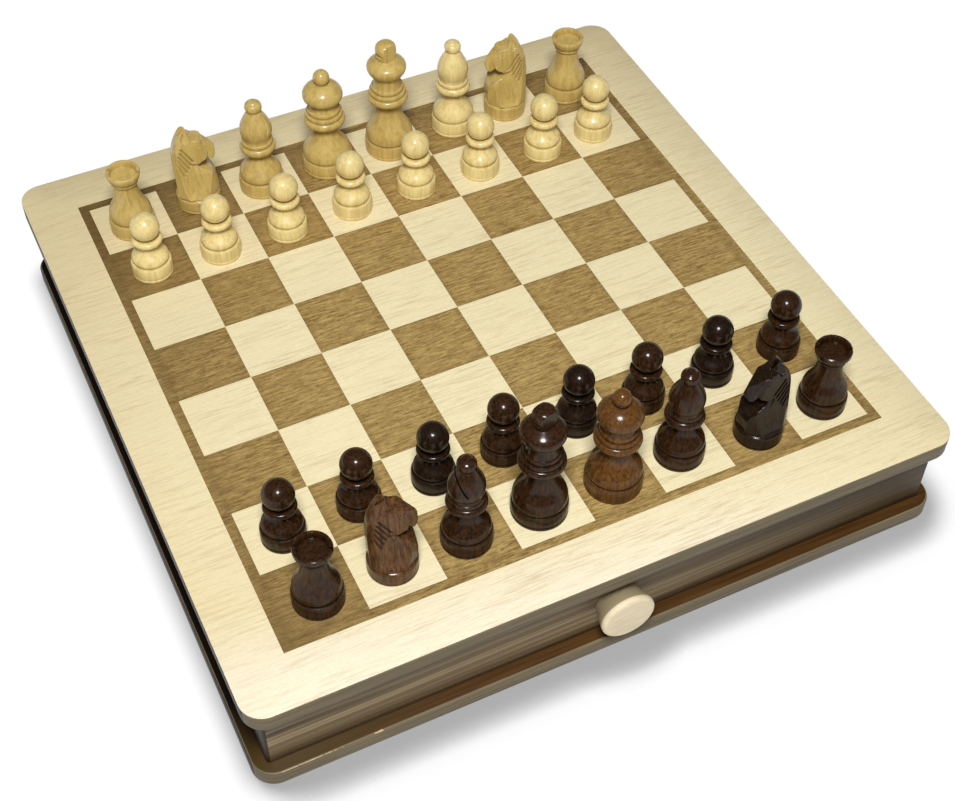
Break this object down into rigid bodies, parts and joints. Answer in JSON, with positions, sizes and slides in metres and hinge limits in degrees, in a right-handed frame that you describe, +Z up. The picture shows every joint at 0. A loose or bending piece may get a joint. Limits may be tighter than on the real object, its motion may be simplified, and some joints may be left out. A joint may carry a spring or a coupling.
{
  "type": "chess box with drawers",
  "caption": "Square chess box: playing board on a shallow case with a knobbed drawer at the front and rear, set out with its turned wooden men.",
  "frame": {"origin": "middle of the underside, on the surface the box stands on", "axes": "+Z up, -Y out of the front drawer, towards the dark men's side, +X to the right as seen from there"},
  "size_m": [0.3, 0.3094, 0.1082],
  "materials": {
    "maple_veneer": "satin lacquer over pale straight-grained veneer",
    "stained_veneer": "brown stain in the same veneer, satin lacquer",
    "lacquered_edge": "grey-brown lacquered edge",
    "mahogany_board": "dark red-brown lacquered board",
    "walnut_veneer": "streaked grey-brown veneer, grain along the front",
    "birch_ply": "plain pale wood, unfinished",
    "turned_maple": "turned pale wood, plain",
    "steel": "zinc-plated wood screw",
    "sheesham": "dark brown turned wood, polished",
    "boxwood": "pale yellow turned wood, polished"
  },
  "bodies": {
    "case": {"bottom_board": "mahogany_board", "left_wall": "walnut_veneer", "right_wall": "walnut_veneer", "centre_wall": "birch_ply", "top_board": "lacquered_edge", "face_veneer": "maple_veneer", "stained_squares": "stained_veneer"},
    "front_drawer": {"front_drawer_front": "walnut_veneer", "front_drawer_left_side": "birch_ply", "front_drawer_right_side": "birch_ply", "front_drawer_back": "birch_ply", "front_drawer_bottom": "birch_ply", "front_drawer_knob": "turned_maple", "front_drawer_knob_screw": "steel"},
    "rear_drawer": {"rear_drawer_front": "walnut_veneer", "rear_drawer_left_side": "birch_ply", "rear_drawer_right_side": "birch_ply", "rear_drawer_back": "birch_ply", "rear_drawer_bottom": "birch_ply", "rear_drawer_knob": "turned_maple", "rear_drawer_knob_screw": "steel"},
    "dark_rook_left": {"dark_rook_left": "sheesham"},
    "dark_knight_left": {"dark_knight_left": "sheesham"},
    "dark_bishop_left": {"dark_bishop_left": "sheesham"},
    "dark_king": {"dark_king": "sheesham"},
    "dark_queen": {"dark_queen": "sheesham"},
    "dark_bishop_right": {"dark_bishop_right": "sheesham"},
    "dark_knight_right": {"dark_knight_right": "sheesham"},
    "dark_rook_right": {"dark_rook_right": "sheesham"},
    "dark_pawn_1": {"dark_pawn_1": "sheesham"},
    "dark_pawn_2": {"dark_pawn_2": "sheesham"},
    "dark_pawn_3": {"dark_pawn_3": "sheesham"},
    "dark_pawn_4": {"dark_pawn_4": "sheesham"},
    "dark_pawn_5": {"dark_pawn_5": "sheesham"},
    "dark_pawn_6": {"dark_pawn_6": "sheesham"},
    "dark_pawn_7": {"dark_pawn_7": "sheesham"},
    "dark_pawn_8": {"dark_pawn_8": "sheesham"},
    "pale_rook_left": {"pale_rook_left": "boxwood"},
    "pale_knight_left": {"pale_knight_left": "boxwood"},
    "pale_bishop_left": {"pale_bishop_left": "boxwood"},
    "pale_queen": {"pale_queen": "boxwood"},
    "pale_king": {"pale_king": "boxwood"},
    "pale_bishop_right": {"pale_bishop_right": "boxwood"},
    "pale_knight_right": {"pale_knight_right": "boxwood"},
    "pale_rook_right": {"pale_rook_right": "boxwood"},
    "pale_pawn_1": {"pale_pawn_1": "boxwood"},
    "pale_pawn_2": {"pale_pawn_2": "boxwood"},
    "pale_pawn_3": {"pale_pawn_3": "boxwood"},
    "pale_pawn_4": {"pale_pawn_4": "boxwood"},
    "pale_pawn_5": {"pale_pawn_5": "boxwood"},
    "pale_pawn_6": {"pale_pawn_6": "boxwood"},
    "pale_pawn_7": {"pale_pawn_7": "boxwood"},
    "pale_pawn_8": {"pale_pawn_8": "boxwood"}
  },
  "joints": [
    {"name": "front_drawer_slide", "type": "slide", "parent": "case", "child": "front_drawer", "axis": [0, -1, 0], "range_m": [0, 0.105]},
    {"name": "rear_drawer_slide", "type": "slide", "parent": "case", "child": "rear_drawer", "axis": [0, 1, 0], "range_m": [0, 0.105]},
    {"name": "dark_rook_left_lift", "type": "slide", "parent": "case", "child": "dark_rook_left", "axis": [0, 0, 1], "range_m": [0, 0.07]},
    {"name": "dark_knight_left_lift", "type": "slide", "parent": "case", "child": "dark_knight_left", "axis": [0, 0, 1], "range_m": [0, 0.07]},
    {"name": "dark_bishop_left_lift", "type": "slide", "parent": "case", "child": "dark_bishop_left", "axis": [0, 0, 1], "range_m": [0, 0.07]},
    {"name": "dark_king_lift", "type": "slide", "parent": "case", "child": "dark_king", "axis": [0, 0, 1], "range_m": [0, 0.07]},
    {"name": "dark_queen_lift", "type": "slide", "parent": "case", "child": "dark_queen", "axis": [0, 0, 1], "range_m": [0, 0.07]},
    {"name": "dark_bishop_right_lift", "type": "slide", "parent": "case", "child": "dark_bishop_right", "axis": [0, 0, 1], "range_m": [0, 0.07]},
    {"name": "dark_knight_right_lift", "type": "slide", "parent": "case", "child": "dark_knight_right", "axis": [0, 0, 1], "range_m": [0, 0.07]},
    {"name": "dark_rook_right_lift", "type": "slide", "parent": "case", "child": "dark_rook_right", "axis": [0, 0, 1], "range_m": [0, 0.07]},
    {"name": "dark_pawn_1_lift", "type": "slide", "parent": "case", "child": "dark_pawn_1", "axis": [0, 0, 1], "range_m": [0, 0.07]},
    {"name": "dark_pawn_2_lift", "type": "slide", "parent": "case", "child": "dark_pawn_2", "axis": [0, 0, 1], "range_m": [0, 0.07]},
    {"name": "dark_pawn_3_lift", "type": "slide", "parent": "case", "child": "dark_pawn_3", "axis": [0, 0, 1], "range_m": [0, 0.07]},
    {"name": "dark_pawn_4_lift", "type": "slide", "parent": "case", "child": "dark_pawn_4", "axis": [0, 0, 1], "range_m": [0, 0.07]},
    {"name": "dark_pawn_5_lift", "type": "slide", "parent": "case", "child": "dark_pawn_5", "axis": [0, 0, 1], "range_m": [0, 0.07]},
    {"name": "dark_pawn_6_lift", "type": "slide", "parent": "case", "child": "dark_pawn_6", "axis": [0, 0, 1], "range_m": [0, 0.07]},
    {"name": "dark_pawn_7_lift", "type": "slide", "parent": "case", "child": "dark_pawn_7", "axis": [0, 0, 1], "range_m": [0, 0.07]},
    {"name": "dark_pawn_8_lift", "type": "slide", "parent": "case", "child": "dark_pawn_8", "axis": [0, 0, 1], "range_m": [0, 0.07]},
    {"name": "pale_rook_left_lift", "type": "slide", "parent": "case", "child": "pale_rook_left", "axis": [0, 0, 1], "range_m": [0, 0.07]},
    {"name": "pale_knight_left_lift", "type": "slide", "parent": "case", "child": "pale_knight_left", "axis": [0, 0, 1], "range_m": [0, 0.07]},
    {"name": "pale_bishop_left_lift", "type": "slide", "parent": "case", "child": "pale_bishop_left", "axis": [0, 0, 1], "range_m": [0, 0.07]},
    {"name": "pale_queen_lift", "type": "slide", "parent": "case", "child": "pale_queen", "axis": [0, 0, 1], "range_m": [0, 0.07]},
    {"name": "pale_king_lift", "type": "slide", "parent": "case", "child": "pale_king", "axis": [0, 0, 1], "range_m": [0, 0.07]},
    {"name": "pale_bishop_right_lift", "type": "slide", "parent": "case", "child": "pale_bishop_right", "axis": [0, 0, 1], "range_m": [0, 0.07]},
    {"name": "pale_knight_right_lift", "type": "slide", "parent": "case", "child": "pale_knight_right", "axis": [0, 0, 1], "range_m": [0, 0.07]},
    {"name": "pale_rook_right_lift", "type": "slide", "parent": "case", "child": "pale_rook_right", "axis": [0, 0, 1], "range_m": [0, 0.07]},
    {"name": "pale_pawn_1_lift", "type": "slide", "parent": "case", "child": "pale_pawn_1", "axis": [0, 0, 1], "range_m": [0, 0.07]},
    {"name": "pale_pawn_2_lift", "type": "slide", "parent": "case", "child": "pale_pawn_2", "axis": [0, 0, 1], "range_m": [0, 0.07]},
    {"name": "pale_pawn_3_lift", "type": "slide", "parent": "case", "child": "pale_pawn_3", "axis": [0, 0, 1], "range_m": [0, 0.07]},
    {"name": "pale_pawn_4_lift", "type": "slide", "parent": "case", "child": "pale_pawn_4", "axis": [0, 0, 1], "range_m": [0, 0.07]},
    {"name": "pale_pawn_5_lift", "type": "slide", "parent": "case", "child": "pale_pawn_5", "axis": [0, 0, 1], "range_m": [0, 0.07]},
    {"name": "pale_pawn_6_lift", "type": "slide", "parent": "case", "child": "pale_pawn_6", "axis": [0, 0, 1], "range_m": [0, 0.07]},
    {"name": "pale_pawn_7_lift", "type": "slide", "parent": "case", "child": "pale_pawn_7", "axis": [0, 0, 1], "range_m": [0, 0.07]},
    {"name": "pale_pawn_8_lift", "type": "slide", "parent": "case", "child": "pale_pawn_8", "axis": [0, 0, 1], "range_m": [0, 0.07]}
  ]
}
